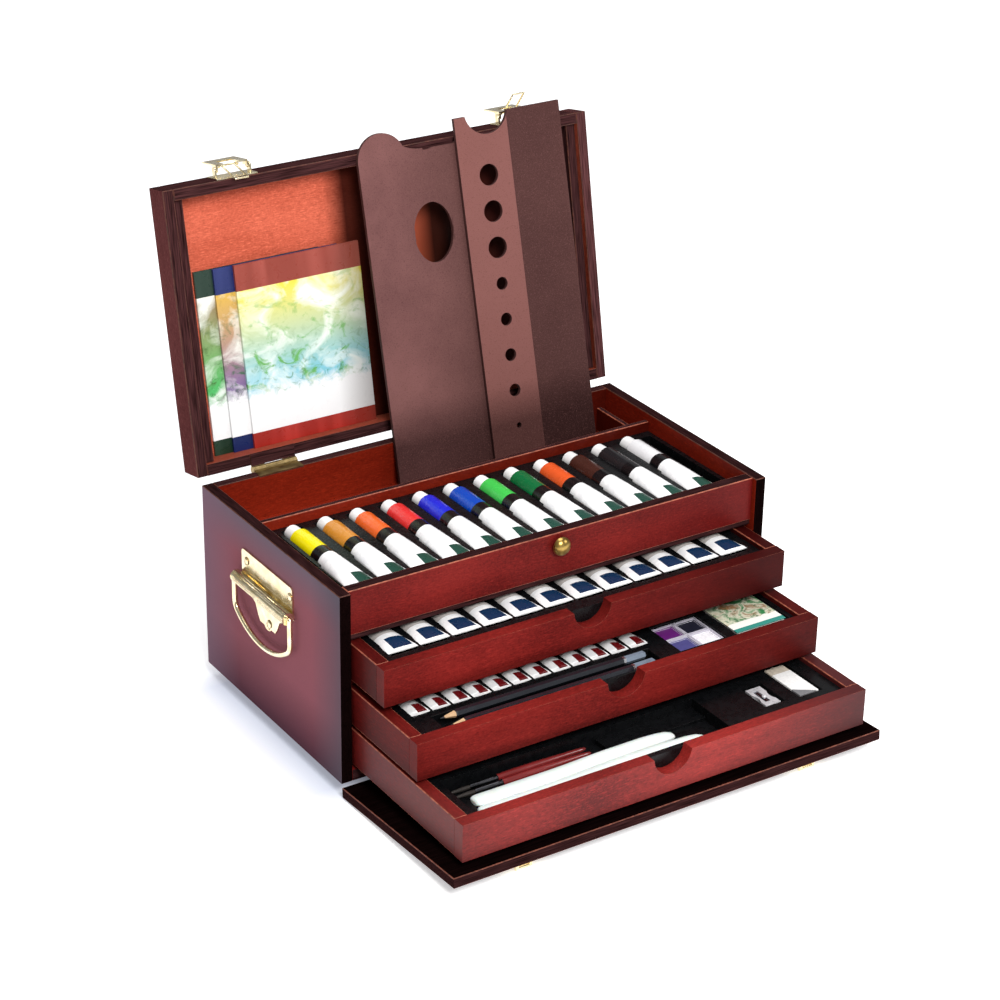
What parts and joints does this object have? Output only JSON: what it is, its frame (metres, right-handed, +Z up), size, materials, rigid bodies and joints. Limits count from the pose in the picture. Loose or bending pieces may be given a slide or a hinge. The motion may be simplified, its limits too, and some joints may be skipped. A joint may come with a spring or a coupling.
{
  "type": "art supply box",
  "caption": "Wooden art supply box with hinged lid, drop front, three drawers, lift-out tray, palettes and side handles.",
  "frame": {"origin": "floor level, middle of the footprint of the opened box, in the middle of its width", "axes": "+Z up, -Y towards the front where the drawers open, +X to the right seen from the front"},
  "size_m": [0.386, 0.429, 0.3969],
  "materials": {
    "wood_red": "satin stained mahogany",
    "wood_dark": "satin dark plum stain",
    "wood_inner": "satin orange red stain",
    "palette_board": "sealed brown board",
    "brass": "polished",
    "tray_black": "gloss moulded",
    "foot_pad": "matt",
    "tube_metal": "printed white",
    "cap_white": "matt",
    "pencil_wood": "lacquered grey",
    "pan_plastic": "gloss",
    "paper_pad": "matt",
    "brush_wood": "lacquered dark red",
    "knife_plastic": "translucent white",
    "sharpener_metal": "satin",
    "eraser_soft": "matt",
    "card_red": "printed",
    "card_blue": "printed",
    "card_green": "printed"
  },
  "bodies": {
    "case": {"case_left_side": "wood_dark", "case_right_side": "wood_dark", "case_back": "wood_inner", "case_bottom": "wood_red", "deck_board": "wood_red", "front_rail": "wood_red", "divider_rail": "wood_inner", "drawer_runners": "wood_red", "feet": "foot_pad", "knob": "brass", "handle_plate_left": "brass", "handle_plate_right": "brass", "hinge_case_leaves": "brass", "hinge_pins": "brass"},
    "bail_left": {"bail_left": "brass"},
    "bail_right": {"bail_right": "brass"},
    "lid": {"lid_sides": "wood_dark", "lid_front_rail": "wood_dark", "lid_back_rail": "wood_dark", "lid_panel": "wood_inner", "lid_cleats": "wood_dark", "lid_hinge_leaves": "brass", "latch_bases": "brass"},
    "latch_lever_left": {"latch_lever_left": "brass"},
    "latch_lever_right": {"latch_lever_right": "brass"},
    "latch_loop_left": {"latch_loop_left": "brass"},
    "latch_loop_right": {"latch_loop_right": "brass"},
    "drop_front": {"drop_front": "wood_dark", "drop_front_hinge_leaves": "brass", "strikes": "brass"},
    "drawer_1": {"drawer_1_front": "wood_red", "drawer_1_frame": "wood_red", "drawer_1_bottom": "wood_red", "drawer_1_tray": "tray_black", "drawer_1_tubes": "tube_metal"},
    "drawer_2": {"drawer_2_front": "wood_red", "drawer_2_frame": "wood_red", "drawer_2_bottom": "wood_red", "drawer_2_tray": "tray_black", "drawer_2_tubes": "tube_metal", "pencils": "pencil_wood", "paint_pans": "pan_plastic", "sketch_pad": "paper_pad"},
    "drawer_3": {"drawer_3_front": "wood_red", "drawer_3_frame": "wood_red", "drawer_3_bottom": "wood_red", "drawer_3_tray": "tray_black", "brushes": "brush_wood", "palette_knives": "knife_plastic", "sharpener": "sharpener_metal", "eraser": "eraser_soft"},
    "top_tray": {"top_tray": "tray_black", "top_tubes": "tube_metal", "top_caps": "cap_white"},
    "palette_1": {"palette_1": "palette_board"},
    "palette_2": {"palette_2": "palette_board"},
    "booklet_1": {"booklet_1": "card_red"},
    "booklet_2": {"booklet_2": "card_blue"},
    "booklet_3": {"booklet_3": "card_green"}
  },
  "joints": [
    {"name": "lid_hinge", "type": "hinge", "parent": "case", "child": "lid", "pos_m": [0, 0.14119, 0.1596], "axis": [1, 0, 0], "range_deg": [-15, 0]},
    {"name": "drop_front_hinge", "type": "hinge", "parent": "case", "child": "drop_front", "pos_m": [0, -0.06436, 0.01017], "axis": [1, 0, 0], "range_deg": [-1.5, 93.5]},
    {"name": "drawer_1_slide", "type": "slide", "parent": "case", "child": "drawer_1", "axis": [0, -1, 0], "range_m": [-0.0445, 0.1091]},
    {"name": "drawer_2_slide", "type": "slide", "parent": "case", "child": "drawer_2", "axis": [0, -1, 0], "range_m": [-0.0878, 0.0658]},
    {"name": "drawer_3_slide", "type": "slide", "parent": "case", "child": "drawer_3", "axis": [0, -1, 0], "range_m": [-0.1456, 0.008]},
    {"name": "bail_left_hinge", "type": "hinge", "parent": "case", "child": "bail_left", "pos_m": [-0.18825, 0.03664, 0.115], "axis": [0, 1, 0], "range_deg": [0, 175]},
    {"name": "bail_right_hinge", "type": "hinge", "parent": "case", "child": "bail_right", "pos_m": [0.18825, 0.03664, 0.115], "axis": [0, -1, 0], "range_deg": [0, 175]},
    {"name": "latch_left_lever_hinge", "type": "hinge", "parent": "lid", "child": "latch_lever_left", "pos_m": [-0.1217, 0.1931, 0.37753], "axis": [1, 0, 0], "range_deg": [0, 130]},
    {"name": "latch_right_lever_hinge", "type": "hinge", "parent": "lid", "child": "latch_lever_right", "pos_m": [0.1217, 0.1931, 0.37753], "axis": [1, 0, 0], "range_deg": [0, 85]},
    {"name": "latch_left_loop_hinge", "type": "hinge", "parent": "latch_lever_left", "child": "latch_loop_left", "pos_m": [-0.1217, 0.19931, 0.37807], "axis": [1, 0, 0], "range_deg": [-130, 0]},
    {"name": "latch_right_loop_hinge", "type": "hinge", "parent": "latch_lever_right", "child": "latch_loop_right", "pos_m": [0.1217, 0.19931, 0.37807], "axis": [1, 0, 0], "range_deg": [-110.5, 0]},
    {"name": "top_tray_lift", "type": "slide", "parent": "case", "child": "top_tray", "axis": [0, 0, 1], "range_m": [0, 0.045]},
    {"name": "palette_1_lift", "type": "slide", "parent": "case", "child": "palette_1", "axis": [0, 0.2477, 0.9688], "range_m": [0, 0.06]},
    {"name": "palette_2_lift", "type": "slide", "parent": "case", "child": "palette_2", "axis": [0, 0.2477, 0.9688], "range_m": [0, 0.06]},
    {"name": "booklet_1_lift", "type": "slide", "parent": "lid", "child": "booklet_1", "axis": [0, 0.1881, 0.9822], "range_m": [0, 0.05]},
    {"name": "booklet_2_lift", "type": "slide", "parent": "lid", "child": "booklet_2", "axis": [0, 0.1881, 0.9822], "range_m": [0, 0.05]},
    {"name": "booklet_3_lift", "type": "slide", "parent": "lid", "child": "booklet_3", "axis": [0, 0.1881, 0.9822], "range_m": [0, 0.05]}
  ],
  "couplings": [
    {"joint": "latch_left_loop_hinge", "follows": "latch_left_lever_hinge", "ratio": -1},
    {"joint": "latch_right_loop_hinge", "follows": "latch_right_lever_hinge", "ratio": -1.3}
  ]
}
